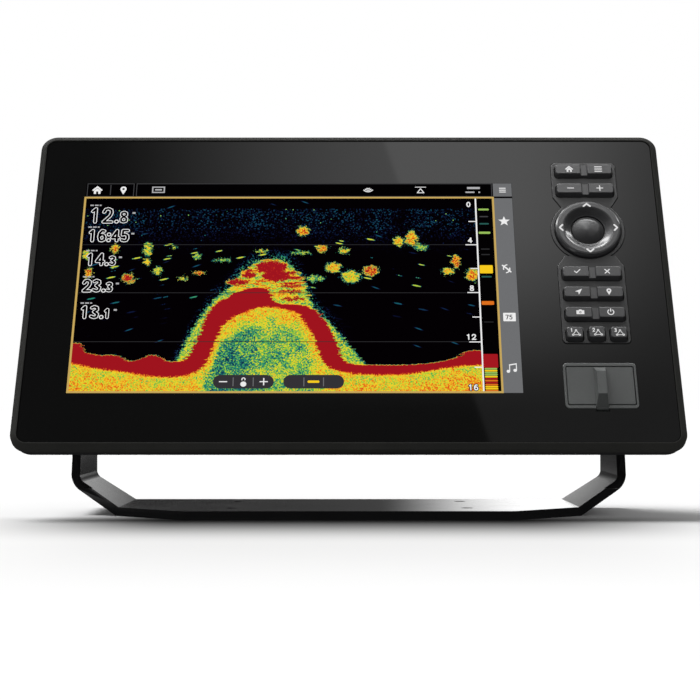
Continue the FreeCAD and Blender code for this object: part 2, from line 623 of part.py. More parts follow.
def card_door():
    """A flush flap with a finger ridge; the ridge's lower end is the hinge knuckle."""
    flap = rect(DOOR_X, DOOR_Z + DOOR_LIFT / 2, DOOR_W, DOOR_H - DOOR_LIFT, 0.7)
    shape = soften(prism(flap, -0.1, 1.5), 0.3, at_depth(-0.1))
    top = DOOR_Z + DOOR_H / 2
    ridge_side = [
        (0.5, top - 0.4),
        (-0.1, top - 0.2),
        (-4.2, top - 4.4),
        (-4.2, top - 15.6),
        (-0.35, HINGE_Z - 0.15),
        (0.5, HINGE_Z + 0.6),
    ]
    points = [V(0, y, z) for y, z in ridge_side]
    face = Part.Face(Part.makePolygon(points + points[:1]))
    ridge = face.extrude(V(5.6, 0, 0))
    ridge.translate(V(DOOR_X - 2.8, 0, 0))
    for side in (-1, 1):  # sloped flanks
        flank = [V(DOOR_X + side * 1.8, -5.0, -70), V(DOOR_X + side * 2.75, 0.1, -70)]
        flank += [V(DOOR_X + side * 6.0, 0.1, -70), V(DOOR_X + side * 6.0, -5.0, -70)]
        ridge = ridge.cut(Part.Face(Part.makePolygon(flank + flank[:1])).extrude(V(0, 0, 40)))
    shape = shape.fuse(ridge)
    knuckle = cross_rod(DOOR_X - KNUCKLE_HALF, DOOR_X + KNUCKLE_HALF, KNUCKLE_R, HINGE_Y, HINGE_Z)
    web = box(DOOR_X - KNUCKLE_HALF, DOOR_X + KNUCKLE_HALF, 0.0, 1.4, HINGE_Z, HINGE_Z + 1.5)
    shape = shape.fuse(knuckle).fuse(web).removeSplitter()
    return shape.cut(cross_rod(DOOR_X - 6, DOOR_X + 6, HINGE_PIN_R + 0.06, HINGE_Y, HINGE_Z))


head("card_bay", card_bay())
head("card_door", card_door())
head("door_hinge_pin", cross_rod(DOOR_X - 6.4, DOOR_X + 6.4, HINGE_PIN_R - 0.01, HINGE_Y, HINGE_Z))
seal = prism(rect(DOOR_X, DOOR_Z, DOOR_W - 2.6, DOOR_H - 2.6, 0.9), 1.52, 2.5)
head("door_seal", seal.cut(prism(rect(DOOR_X, DOOR_Z, DOOR_W - 5.6, DOOR_H - 5.6, 0.5), 0, 5)))

CARD_FRONT, SOCKET_DEPTH = 5.6, 15.5
for letter, slot_x in zip("ab", SLOT_XS):
    low, high = DOOR_Z - CARD_H / 2, DOOR_Z + CARD_H / 2
    blank = box(slot_x - CARD_T / 2, slot_x + CARD_T / 2, CARD_FRONT, CARD_FRONT + CARD_L, low, high)
    blank = blank.makeFillet(0.35, [e for e in blank.Edges if abs(e.CenterOfMass.y - CARD_FRONT) < 0.01])
    notch = box(slot_x - 1, slot_x + 1, CARD_FRONT + CARD_L - 6, 30, high - 0.8, high + 2)
    head(f"memory_card_{letter}", blank.cut(notch))
    holder = box(slot_x - 1.4, slot_x + 1.4, 8.05, 8.05 + SOCKET_DEPTH, DOOR_Z - 6.3, DOOR_Z + 6.3)
    pocket = box(slot_x - 0.65, slot_x + 0.65, 8, CARD_FRONT + CARD_L + 1.4, low - 0.25, high + 0.25)
    parts.setdefault("card_sockets", []).append(seat_head(holder.cut(pocket)))
card_board = box(SLOT_XS[0] - 3.4, SLOT_XS[0] - 1.9, 9.0, 23.5, DOOR_Z - 6.0, DOOR_Z + 9.5)
head("card_board", card_board)

# ---- Electronics inside the rear body ------------------------------------------------------------
board = prism(rect(0, 0, BOARD_W, BOARD_H, 3.0), BOARD_FRONT, BOARD_FRONT + BOARD_T)
for x, z in STANDOFFS:
    board = board.cut(rod(x, z, 1.6, 20, 30))
head("main_board", board)


def board_screw(x, z):
    """A low-headed screw through the board into a standoff."""
    cap = rod(x, z, 2.6, BOARD_FRONT - 1.7, BOARD_FRONT - GAP)
    cap = cap.makeFillet(0.6, edges_where(cap, at_depth(BOARD_FRONT - 1.7)))
    return cap.fuse(rod(x, z, 1.2, BOARD_FRONT - 0.5, BOARD_FRONT + 9))


head("board_screws", *[board_screw(x, z) for x, z in STANDOFFS])
BACK_OF_BOARD = BOARD_FRONT + BOARD_T + GAP
CHIPS = [  # (x, z, width, height, thickness)
    (-38.0, 12.0, 19.0, 19.0, 1.6),
    (-10.0, 18.0, 11.0, 13.0, 1.2),
    (-10.0, 2.0, 11.0, 13.0, 1.2),
    (24.0, 14.0, 14.0, 14.0, 1.4),
    (-62.0, -14.0, 9.0, 9.0, 1.0),
    (-34.0, -30.0, 12.0, 6.0, 1.2),
    (40.0, -30.0, 8.0, 8.0, 1.0),
]
CAPACITORS = [(x, z) for x in (60.0, 70.0) for z in (20.0, 30.0)]


def chip(x, z, width, height, thickness):
    body = rect(x, z, width, height, 0)
    return prism(body, BACK_OF_BOARD, BACK_OF_BOARD + thickness)


head("board_chips", *[chip(*row) for row in CHIPS])
cans = [rod(x, z, 4.0, BACK_OF_BOARD, BACK_OF_BOARD + 9.5) for x, z in CAPACITORS]
head("board_capacitors", *cans)
coil = rod(58.0, -14.0, 9.5, BACK_OF_BOARD, BACK_OF_BOARD + 8).cut(rod(58.0, -14.0, 4.0, 20, 50))
head("sonar_transformer", coil)
SPREADER_Y = BACK_OF_BOARD + 1.7
spreader = box(-52.0, 34.0, SPREADER_Y, SPREADER_Y + 2.0, -8.0, 28.0)
for i in range(8):
    x = -48.0 + i * 11.0
    spreader = spreader.fuse(box(x, x + 1.6, SPREADER_Y + 1.9, SPREADER_Y + 9.0, -6.0, 26.0))
head("heat_spreader", spreader)
buzzer = rod(-74.0, 24.0, 6.0, BOARD_FRONT - 7, BOARD_FRONT - GAP)
head("buzzer", buzzer.cut(rod(-74.0, 24.0, 1.2, BOARD_FRONT - 8, BOARD_FRONT - 4)))
head("gps_antenna", box(-12.5, 12.5, 33.0, 53.0, 37.5, 41.5))


def flex(x0, x1, path):
    """A flat cable 0.3 thick, from x0 to x1 wide, that follows (depth, z) points."""
    line = [V(x0, y, z) for y, z in path]
    back = []
    for i, point in enumerate(line):
        along = line[min(i + 1, len(line) - 1)] - line[max(i - 1, 0)]
        back.append(point + along.cross(V(1, 0, 0)).normalize() * 0.3)
    points = line + back[::-1]
    return Part.Face(Part.makePolygon(points + points[:1])).extrude(V(x1 - x0, 0, 0))


display_path = [(6.7, -52.0), (12.0, -54.5), (20.0, -53.0), (25.5, -44.0), (25.6, -36.0)]
head("display_flex", flex(-40.0, -12.0, display_path))
head("keypad_flex", flex(98.0, 108.0, [(7.8, -20.0), (13.0, -22.0), (24.0, -16.0)]))

# ---- Pivots and clamp knobs ----------------------------------------------------------------------
STUD_R = 3.0
KNOB_IN, KNOB_OUT, KNOB_R = 127.6, 141.8, 17.0
WASHER_IN = ARM_INNER + STRIP + 0.15


def insert():
    """A brass insert with the stud's thread, pressed into the housing's boss."""
    outer = cross_rod(105.0, BOSS_FACE - 0.1, 4.98, PIVOT_DEPTH, 0)
    return outer.cut(cross_rod(104.0, 125.0, STUD_R + 0.06, PIVOT_DEPTH, 0))


def friction_disc():
    """A ribbed rubber disc between the housing's boss and the arm."""
    disc = cross_rod(BOSS_FACE + 0.03, ARM_INNER - 0.15, 14.0, PIVOT_DEPTH, 0)
    return disc.cut(cross_rod(110.0, 125.0, 5.4, PIVOT_DEPTH, 0))


def knob():
    """A round grip with eight scallops and a domed cap."""
    shape = cross_rod(KNOB_IN, KNOB_OUT, KNOB_R, PIVOT_DEPTH, 0)
    shape = soften(shape, 2.4, lambda p: abs(p.x - KNOB_OUT) < 1e-3)
    shape = shape.makeFillet(0.8, edges_where(shape, lambda p: abs(p.x - KNOB_IN) < 1e-3))
    for i in range(8):
        angle = math.radians(45 * i + 22.5)
        y = PIVOT_DEPTH + (KNOB_R + 2.2) * math.cos(angle)
        z = (KNOB_R + 2.2) * math.sin(angle)
        shape = shape.cut(cross_rod(KNOB_IN - 1, KNOB_OUT + 1, 4.4, y, z))
    dish = Part.makeCone(9.0, 7.6, 1.2, V(KNOB_OUT + 0.01, PIVOT_DEPTH, 0), V(-1, 0, 0))
    shape = shape.cut(dish)
    return shape.cut(cross_rod(KNOB_IN - 1, KNOB_OUT - 4.0, STUD_R + 0.01, PIVOT_DEPTH, 0))


def stud():
    """The steel stud moulded into the knob, with a tapered tip."""
    shape = cross_rod(107.5, KNOB_OUT - 4.2, STUD_R, PIVOT_DEPTH, 0)
    return shape.makeChamfer(0.8, edges_where(shape, lambda p: abs(p.x - 107.5) < 1e-3))


def washer():
    disc = cross_rod(WASHER_IN, KNOB_IN - GAP, 11.0, PIVOT_DEPTH, 0)
    return disc.cut(cross_rod(110.0, 130.0, STUD_R + 0.1, PIVOT_DEPTH, 0))


head("threaded_inserts", insert(), mirrored(insert()))
head("friction_discs", friction_disc(), mirrored(friction_disc()))
for side, flip in (("right", lambda s: s), ("left", mirrored)):
    head(f"{side}_knob", flip(knob()))
    head(f"{side}_knob_stud", flip(stud()))
    head(f"{side}_knob_washer", flip(washer()))

# ---- Export --------------------------------------------------------------------------------------
os.makedirs("parts", exist_ok=True)
for name, solids in parts.items():
    pieces = [solid for shape in solids for solid in shape.Solids]
    Part.makeCompound(pieces).exportStep(f"parts/{name}.step")
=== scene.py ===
import json
import math

import bpy
from mathutils import Matrix, Vector

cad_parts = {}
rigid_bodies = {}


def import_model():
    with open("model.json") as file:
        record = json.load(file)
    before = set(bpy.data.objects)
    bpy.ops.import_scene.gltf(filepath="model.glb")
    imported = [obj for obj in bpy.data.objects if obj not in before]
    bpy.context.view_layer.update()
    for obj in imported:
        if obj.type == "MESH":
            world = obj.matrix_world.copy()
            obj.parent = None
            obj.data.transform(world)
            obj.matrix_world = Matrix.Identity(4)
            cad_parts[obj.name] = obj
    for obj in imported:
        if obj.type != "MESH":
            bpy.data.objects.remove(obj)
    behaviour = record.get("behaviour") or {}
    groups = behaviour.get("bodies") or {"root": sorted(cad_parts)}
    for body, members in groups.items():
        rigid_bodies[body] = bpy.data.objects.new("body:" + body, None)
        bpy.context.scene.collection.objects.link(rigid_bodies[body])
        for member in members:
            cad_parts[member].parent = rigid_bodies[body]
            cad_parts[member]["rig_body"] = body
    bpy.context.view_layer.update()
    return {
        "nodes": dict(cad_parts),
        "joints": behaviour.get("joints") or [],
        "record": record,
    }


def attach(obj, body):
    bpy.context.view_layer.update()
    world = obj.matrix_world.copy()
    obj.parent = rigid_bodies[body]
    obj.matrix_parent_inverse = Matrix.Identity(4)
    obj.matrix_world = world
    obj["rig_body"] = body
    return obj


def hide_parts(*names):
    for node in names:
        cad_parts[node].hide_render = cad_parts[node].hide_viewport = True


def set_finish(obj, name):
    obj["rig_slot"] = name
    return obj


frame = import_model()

record = frame["record"]
joints = {j["name"]: j for j in frame["joints"]}

# ---- The panel frame: X right, Y up the face, Z out of the glass, in millimetres -----------------
inward = Vector(joints["cursor_press"]["axis"]).normalized()
pivot = Vector(joints["tilt"]["pos_m"])
right = Vector((1, 0, 0))
upward = right.cross(inward)
glass_depth = min(inward.dot(v.co) for v in frame["nodes"]["cover_glass"].data.vertices)
face_centre = pivot + inward * (glass_depth - inward.dot(pivot))
PANEL = Matrix.Identity(4)
for column, axis in enumerate((right, upward, -inward)):
    for row in range(3):
        PANEL[row][column] = axis[row] * 0.001
    PANEL[column][3] = face_centre[column]


def on_face(point):
    """A point of the row frame as (u, v) millimetres on the face."""
    local = PANEL.inverted() @ Vector(point)
    return local.x, local.y


# ---- Shader helpers ------------------------------------------------------------------------------
def rgb(r, g, b):
    """Linear colour from 0..255 display values."""
    linear = []
    for c in (r / 255, g / 255, b / 255):
        linear.append(c / 12.92 if c <= 0.04045 else ((c + 0.055) / 1.055) ** 2.4)
    return (*linear, 1.0)


class Term:
    """A number or a node output that can be used in sums."""

    tree = None

    def __init__(self, value):
        self.value = value

    def __add__(self, other):
        return op("ADD", self, other)

    def __radd__(self, other):
        return op("ADD", other, self)

    def __sub__(self, other):
        return op("SUBTRACT", self, other)

    def __rsub__(self, other):
        return op("SUBTRACT", other, self)

    def __mul__(self, other):
        return op("MULTIPLY", self, other)

    def __rmul__(self, other):
        return op("MULTIPLY", other, self)

    def __truediv__(self, other):
        return op("DIVIDE", self, other)


def plug(socket, value):
    value = value.value if isinstance(value, Term) else value
    if isinstance(value, bpy.types.NodeSocket):
        Term.tree.links.new(value, socket)
    else:
        socket.default_value = value


def op(kind, *args):
    node = Term.tree.nodes.new("ShaderNodeMath")
    node.operation = kind
    for socket, arg in zip(node.inputs, args):
        plug(socket, arg)
    return Term(node.outputs[0])


def smooth(x, low, high):
    """0 below low, 1 above high, and a smooth step between."""
    node = Term.tree.nodes.new("ShaderNodeMapRange")
    node.interpolation_type = "SMOOTHSTEP"
    plug(node.inputs["Value"], x)
    plug(node.inputs["From Min"], low)
    plug(node.inputs["From Max"], high)
    return Term(node.outputs["Result"])


def mix(factor, a, b):
    return a + (b - a) * factor


def coords():
    """The place on the piece, in its own units."""
    return Term.tree.nodes.new("ShaderNodeTexCoord").outputs["Object"]


def scaled(vector, scale, rotation=0.0):
    node = Term.tree.nodes.new("ShaderNodeMapping")
    plug(node.inputs["Vector"], vector)
    node.inputs["Scale"].default_value = scale
    node.inputs["Rotation"].default_value[2] = rotation
    return node.outputs[0]


def noise(vector, scale, detail=2.0, roughness=0.5):
    node = Term.tree.nodes.new("ShaderNodeTexNoise")
    plug(node.inputs["Vector"], vector)
    node.inputs["Scale"].default_value = scale
    node.inputs["Detail"].default_value = detail
    node.inputs["Roughness"].default_value = roughness
    return Term(node.outputs["Fac"])


def cells(vector, scale):
    """Voronoi distance and a random value per cell."""
    node = Term.tree.nodes.new("ShaderNodeTexVoronoi")
    plug(node.inputs["Vector"], vector)
    node.inputs["Scale"].default_value = scale
    split = Term.tree.nodes.new("ShaderNodeSeparateColor")
    Term.tree.links.new(node.outputs["Color"], split.inputs[0])
    return Term(node.outputs["Distance"]), Term(split.outputs[0])


def static(vector, size):
    """One random value for each square of the given size."""
    snap = Term.tree.nodes.new("ShaderNodeVectorMath")
    snap.operation = "SNAP"
    plug(snap.inputs[0], vector)
    snap.inputs[1].default_value = (size, size, size)
    node = Term.tree.nodes.new("ShaderNodeTexWhiteNoise")
    plug(node.inputs["Vector"], snap.outputs[0])
    return Term(node.outputs["Value"])


def profile(x, points, low, high):
    """A smooth curve y(x) through points, whose y values lie between low and high."""
    start, end = points[0][0], points[-1][0]
    node = Term.tree.nodes.new("ShaderNodeFloatCurve")
    line = node.mapping.curves[0]
    scaled_points = [((a - start) / (end - start), (b - low) / (high - low)) for a, b in points]
    line.points[0].location = scaled_points[0]
    line.points[1].location = scaled_points[-1]
    for place in scaled_points[1:-1]:
        line.points.new(*place)
    node.mapping.update()
    plug(node.inputs["Value"], (x - start) / (end - start))
    return Term(node.outputs[0]) * (high - low) + low


def combine(x, y):
    node = Term.tree.nodes.new("ShaderNodeCombineXYZ")
    plug(node.inputs[0], x)
    plug(node.inputs[1], y)
    return node.outputs[0]


def separate(vector):
    node = Term.tree.nodes.new("ShaderNodeSeparateXYZ")
    plug(node.inputs[0], vector)
    return [Term(s) for s in node.outputs]


def ramp(x, stops):
    node = Term.tree.nodes.new("ShaderNodeValToRGB")
    plug(node.inputs[0], x)
    elements = node.color_ramp.elements
    elements[0].position, elements[0].color = stops[0]
    elements[1].position, elements[1].color = stops[-1]
    for position, colour in stops[1:-1]:
        elements.new(position).color = colour
    return node.outputs[0]


def new_material(name):
    material = bpy.data.materials.new(name)
    material.use_nodes = True
    Term.tree = material.node_tree
    Term.tree.nodes.clear()
    output = Term.tree.nodes.new("ShaderNodeOutputMaterial")
    return material, output


def glow(name, colour):
    """A glowing mark whose dots differ a little in strength: lit display elements, and the key prints,
    which are drawn glowing as painted light.
    """
    material, output = new_material(name)
    shader = Term.tree.nodes.new("ShaderNodeEmission")
    plug(shader.inputs["Color"], colour)
    plug(shader.inputs["Strength"], static(coords(), 0.25) * 0.08 + 0.96)
    Term.tree.links.new(shader.outputs[0], output.inputs[0])
    return material


def surface(name, colour, roughness, metallic=0.0, grain=3500.0, bump=0.06, spread=0.25, wear=0.08,
            stretch=(1, 1, 1), coat=0.0, gloss=0.12, specular=0.5):
    """A surface whose colour, gloss and height vary with fine noise; lengths are in metres."""
    material, output = new_material(name)
    shader = Term.tree.nodes.new("ShaderNodeBsdfPrincipled")
    place = scaled(coords(), stretch)
    fine = noise(place, grain, 3.0)
    broad = noise(coords(), 45.0, 4.0, 0.6)
    dark = [c * (1 - spread) for c in colour[:3]] + [1]
    light = [min(c * (1 + spread), 1) for c in colour[:3]] + [1]
    plug(shader.inputs["Base Color"], ramp(mix(0.35, fine, broad), [(0.3, dark), (0.7, light)]))
    plug(shader.inputs["Roughness"], broad * wear * 2 + (roughness - wear) + (fine - 0.5) * wear)
    shader.inputs["Metallic"].default_value = metallic
    shader.inputs["Specular IOR Level"].default_value = specular
    shader.inputs["Coat Weight"].default_value = coat
    shader.inputs["Coat Roughness"].default_value = gloss
    height = Term.tree.nodes.new("ShaderNodeBump")
    height.inputs["Strength"].default_value = bump
    height.inputs["Distance"].default_value = 0.0002
    plug(height.inputs["Height"], fine)
    Term.tree.links.new(height.outputs[0], shader.inputs["Normal"])
    Term.tree.links.new(shader.outputs[0], output.inputs[0])
    return material


# ---- Materials, one per slot of the record -------------------------------------------------------
LOOKS = {}
for args, options in (
    (("bracket_metal", rgb(24, 24, 25), 0.12), dict(grain=2600, bump=0.03, wear=0.03)),
    (("nylon", rgb(34, 34, 34), 0.5), dict(bump=0.2)),
    (("frame_plastic", rgb(52, 52, 50), 0.6), dict(grain=5200, bump=0.25, specular=0.05)),
    (("clear_glass", rgb(6, 6, 6), 0.03), dict(grain=900, bump=0.0, wear=0.012)),
    (("tape", rgb(12, 12, 12), 0.8), dict()),
    (("display", rgb(10, 10, 12), 0.2), dict()),
    (("metal_tray", rgb(170, 170, 170), 0.35), dict(metallic=1.0, stretch=(1, 12, 1), grain=900)),
    (("housing_plastic", rgb(38, 38, 39), 0.5), dict(grain=3000, bump=0.5)),
    (("seal_rubber", rgb(24, 24, 24), 0.75), dict(bump=0.3)),
    (("steel", rgb(180, 180, 178), 0.3), dict(metallic=1.0, stretch=(1, 10, 10), grain=1500, bump=0.15)),
    (("socket_plastic", rgb(26, 26, 27), 0.4), dict(bump=0.15)),
    (("brass", rgb(196, 160, 88), 0.3), dict(metallic=1.0, grain=1800, bump=0.1)),
    (("gold_pins", rgb(222, 184, 96), 0.2), dict(metallic=1.0, grain=1800, bump=0.05)),
    (("keypad_plastic", rgb(40, 40, 41), 0.5), dict(grain=5200, bump=0.3, coat=0.5, gloss=0.2)),
    (("key_rubber", rgb(50, 50, 52), 0.5), dict(grain=5200, bump=0.2, coat=1.0, gloss=0.13)),
    (("mat_silicone", rgb(120, 120, 120), 0.6), dict()),
    (("board", rgb(24, 84, 48), 0.35), dict(grain=1200, spread=0.4)),
    (("door_plastic", rgb(84, 87, 86), 0.45), dict(grain=5200, bump=0.25, coat=0.6, gloss=0.2)),
    (("card_plastic", rgb(20, 20, 20), 0.4), dict()),
    (("chip", rgb(22, 22, 23), 0.5), dict(bump=0.3)),
    (("can", rgb(190, 190, 192), 0.3), dict(metallic=1.0, grain=1500)),
    (("ferrite", rgb(50, 48, 46), 0.6), dict(bump=0.4)),
    (("antenna_ceramic", rgb(200, 186, 160), 0.35), dict()),
    (("flex", rgb(180, 110, 30), 0.3), dict(spread=0.3)),
):
    LOOKS[args[0]] = surface(*args, **options)
for part in record["subparts"]:
    piece = frame["nodes"][part["node"]]
    piece.data.materials.clear()
    piece.data.materials.append(LOOKS[part["material_slot"]])
    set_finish(piece, part["material_slot"])


# ---- Flat shapes on the face, as lists of polygons in millimetres --------------------------------
def shift(polygons, u, v, size=1.0):
    return [[(u + a * size, v + b * size) for a, b in polygon] for polygon in polygons]


def block(u0, u1, v0, v1):
    return [[(u0, v0), (u1, v0), (u1, v1), (u0, v1)]]


def disc(u, v, r, count=28):
    turns = [math.tau * i / count for i in range(count)]
    return [[(u + r * math.cos(t), v + r * math.sin(t)) for t in turns]]


def ring(u, v, r, width, start=0.0, end=360.0, count=28):
    pieces = []
    for i in range(count):
        a, b = (math.radians(start + (end - start) * k / count) for k in (i, i + 1))
        corners = [(r - width / 2, a), (r + width / 2, a), (r + width / 2, b), (r - width / 2, b)]
        pieces.append([(u + q * math.cos(t), v + q * math.sin(t)) for q, t in corners])
    return pieces


def stroke(points, width):
    pieces = []
    for (a, b), (c, d) in zip(points, points[1:]):
        length = math.hypot(c - a, d - b)
        p, q = -(d - b) / length * width / 2, (c - a) / length * width / 2
        pieces.append([(a + p, b + q), (a - p, b - q), (c - p, d - q), (c + p, d + q)])
    for a, b in points:
        pieces += disc(a, b, width / 2, 10)
    return pieces


def rounded_block(u0, u1, v0, v1, r):
    points = []
    count = 8  # steps in each corner
    corners = ((u1 - r, v1 - r, 0), (u0 + r, v1 - r, 90), (u0 + r, v0 + r, 180), (u1 - r, v0 + r, 270))
    for u, v, start in corners:
        for i in range(count + 1):
            t = math.radians(start + 90 * i / count)
            points.append((u + r * math.cos(t), v + r * math.sin(t)))
    return [points]


def outline(u0, u1, v0, v1, width):
    return (
        block(u0, u1, v1 - width, v1) + block(u0, u1, v0, v0 + width)
        + block(u0, u0 + width, v0, v1) + block(u1 - width, u1, v0, v1)
    )


HOME = [[(-1, 0), (0, 0.95), (1, 0), (0.75, -0.2), (0, 0.5), (-0.75, -0.2)]]
HOME += [[(-0.62, -0.15), (0, 0.4), (0.62, -0.15), (0.62, -0.85), (0.2, -0.85), (0.2, -0.3)]]
HOME += [[(-0.62, -0.15), (0.2, -0.3), (-0.2, -0.3), (-0.2, -0.85), (-0.62, -0.85)]]
MENU = block(-0.9, 0.9, 0.5, 0.78) + block(-0.9, 0.9, -0.14, 0.14) + block(-0.9, 0.9, -0.78, -0.5)
MINUS = block(-0.9, 0.9, -0.13, 0.13)
PLUS = MINUS + block(-0.13, 0.13, -0.9, 0.9)
TICK = stroke([(-0.75, 0.05), (-0.2, -0.5), (0.8, 0.6)], 0.28)
CROSS = stroke([(-0.6, -0.6), (0.6, 0.6)], 0.28) + stroke([(-0.6, 0.6), (0.6, -0.6)], 0.28)
ARROW = [[(-0.95, 0.05), (0.9, 0.85), (0.0, -0.95), (-0.15, -0.15)]]
PIN = ring(0, 0.3, 0.42, 0.36) + [[(-0.58, 0.1), (-0.2, 0.02), (0.2, 0.02), (0.58, 0.1), (0, -1.0)]]
CAMERA = [[(-1, -0.65), (-1, 0.5), (-0.45, 0.5), (-0.3, 0.75), (0, 0.75), (0, 0.28)]]
CAMERA[0] += [(-0.27, 0.1), (-0.27, -0.25), (0, -0.42), (0, -0.65)]
CAMERA += [[(-a, b) for a, b in CAMERA[0]]] + disc(0, -0.07, 0.16)
POWER = ring(0, 0, 0.72, 0.24, 120, 420) + block(-0.13, 0.13, 0.1, 1.0)
SPIKES = [(math.tau * i / 10, r) for i, r in enumerate([1, 0.42] * 5)]
STAR = [[(r * math.sin(t), r * math.cos(t)) for t, r in SPIKES]]
NOTE = disc(-0.7, -0.7, 0.32) + disc(0.55, -0.5, 0.32)
NOTE += block(-0.52, -0.36, -0.7, 0.6) + block(0.73, 0.89, -0.5, 0.85)
NOTE += [[(-0.52, 0.5), (0.89, 0.75), (0.89, 1.0), (-0.52, 0.75)]]
SWIRL = ring(0.25, 0.05, 0.85, 0.22, 95, 200) + ring(-0.25, -0.05, 0.85, 0.22, 275, 380)
SWIRL += stroke([(-0.75, 0.75), (0.0, 0.1), (0.75, -0.7)], 0.3)
# Each figure is one line through points of a cell 0.9 wide and 1 high.
FIGURES = {
    "0": [(0.45, 1), (0.15, 0.85), (0.05, 0.5), (0.15, 0.15), (0.45, 0), (0.75, 0.15), (0.85, 0.5),
          (0.75, 0.85), (0.45, 1)],
    "1": [(0.2, 0.8), (0.5, 1), (0.5, 0)],
    "2": [(0.05, 0.75), (0.2, 0.95), (0.5, 1), (0.8, 0.9), (0.85, 0.68), (0.7, 0.45), (0.05, 0), (0.9, 0)],
    "3": [(0.1, 0.9), (0.4, 1), (0.75, 0.92), (0.8, 0.72), (0.4, 0.53), (0.85, 0.3), (0.75, 0.06),
          (0.45, 0), (0.05, 0.1)],
    "4": [(0.7, 0), (0.7, 1), (0.05, 0.3), (0.95, 0.3)],
    "5": [(0.85, 1), (0.2, 1), (0.15, 0.58), (0.5, 0.64), (0.8, 0.52), (0.85, 0.25), (0.7, 0.04),
          (0.4, 0), (0.05, 0.08)],
    "6": [(0.75, 0.95), (0.45, 1), (0.15, 0.75), (0.08, 0.35), (0.22, 0.05), (0.5, 0), (0.8, 0.1),
          (0.85, 0.35), (0.7, 0.56), (0.4, 0.6), (0.12, 0.42)],
    "7": [(0.05, 1), (0.9, 1), (0.35, 0)],
    "8": [(0.45, 0.53), (0.12, 0.7), (0.15, 0.92), (0.45, 1), (0.75, 0.92), (0.78, 0.7), (0.45, 0.53),
          (0.08, 0.35), (0.1, 0.08), (0.45, 0), (0.8, 0.08), (0.82, 0.35), (0.45, 0.53)],
}


def figures(words, u, v, tall, wide, width):
    """Digits drawn as strokes, from (u, v) at the lower left; a full stop or colon takes half a cell."""
    shapes = []
    for sign in words:
        if sign in FIGURES:
            shapes += stroke([(u + a * wide, v + b * tall) for a, b in FIGURES[sign]], width)
            u += wide * 1.32
        else:
            heights = (0.05, 0.62) if sign == ":" else (0.03,)
            for b in heights:
                shapes += disc(u + wide * 0.1, v + b * tall, width * 0.62, 10)
            u += wide * 0.5
    return shapes


def waypoint(number):
    """A small number, and three linked dots below and to its right."""
    shapes = figures(str(number), -1.05, 0.1, 0.85, 0.5, 0.19)
    for a, b in ((-0.55, -0.75), (1.0, -0.75), (0.2, 0.45)):
        shapes += ring(a, b, 0.19, 0.16, count=12)
    shapes += stroke([(-0.3, -0.75), (0.76, -0.75)], 0.15) + stroke([(-0.43, -0.52), (0.06, 0.22)], 0.15)
    return shapes + stroke([(0.86, -0.52), (0.36, 0.25)], 0.15)


def place_piece(name, mesh, material, body):
    piece = bpy.data.objects.new(name, mesh)
    bpy.context.scene.collection.objects.link(piece)
    piece.matrix_world = PANEL
    mesh.materials.clear()
    mesh.materials.append(material)
    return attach(piece, body)


def marks(name, polygons, height, material, body="head"):
    """A flat printed or lit piece made of polygons, height millimetres above the glass."""
    vertices, faces = [], []
    for polygon in polygons:
        faces.append(range(len(vertices), len(vertices) + len(polygon)))
        vertices += [(u, v, height) for u, v in polygon]
    mesh = bpy.data.meshes.new(name)
    mesh.from_pydata(vertices, [], faces)
    return place_piece(name, mesh, material, body)


# ---- The display picture -------------------------------------------------------------------------
# The picture's edges, the depth scale and the side bar on the face, in millimetres.
VIEW_LEFT, VIEW_LOW, VIEW_HIGH = -122.9, -56.1, 47.9
SCALE_U, SCALE_HIGH, SCALE_STEP = 59.0, 47.2, 12.92
BAR_LEFT, BAR_RIGHT, BAR_HIGH = 67.5, 76.2, 55.8
GRID_HEIGHTS = (21.4, -4.6, -30.2)
CREST_U = -36  # where the hump is highest
# Heights of the picture's layers above the glass, in millimetres.
H_BACKING, H_PICTURE, H_LINE, H_PLATE = 0.02, 0.03, 0.04, 0.045
H_MARK, H_FIGURE, H_BORDER = 0.05, 0.055, 0.06
# The bottom's contours, given in whole millimetres.
SEA_TOP = [
    (-123, -31), (-120, -31), (-117, -35), (-111, -37), (-103, -37), (-96, -40), (-86, -37), (-80, -40),
    (-74, -40), (-71, -37), (-68, -31), (-66, -25), (-64, -18), (-60, -11), (-56, -8), (-50, -4), (-40, -2),
    (-36, -4), (-32, -10), (-22, -11), (-16, -13), (-11, -19), (-5, -31), (0, -41), (12, -42), (36, -41),
    (48, -38), (53, -35), (60, -35),
]
SEA_UNDER = [
    (-123, -41), (-110, -44), (-96, -46), (-84, -48), (-75, -48), (-66, -45), (-62, -38), (-58, -27),
    (-54, -19), (-47, -15), (-38, -12), (-24, -15), (-19, -21), (-14, -32), (-9, -43), (0, -46), (12, -47),
    (30, -46), (46, -43), (60, -42),
]
FRINGE = [
    (-123, -52), (-85, -52), (-77, -41), (-71, -27), (-67, -19), (-62, -10), (-54, -1), (-47, 8), (-40, 13),
    (-32, 13), (-24, 8), (-20, 0), (-15, -12), (-6, -23), (2, -34), (9, -44), (14, -52), (60, -52),
]
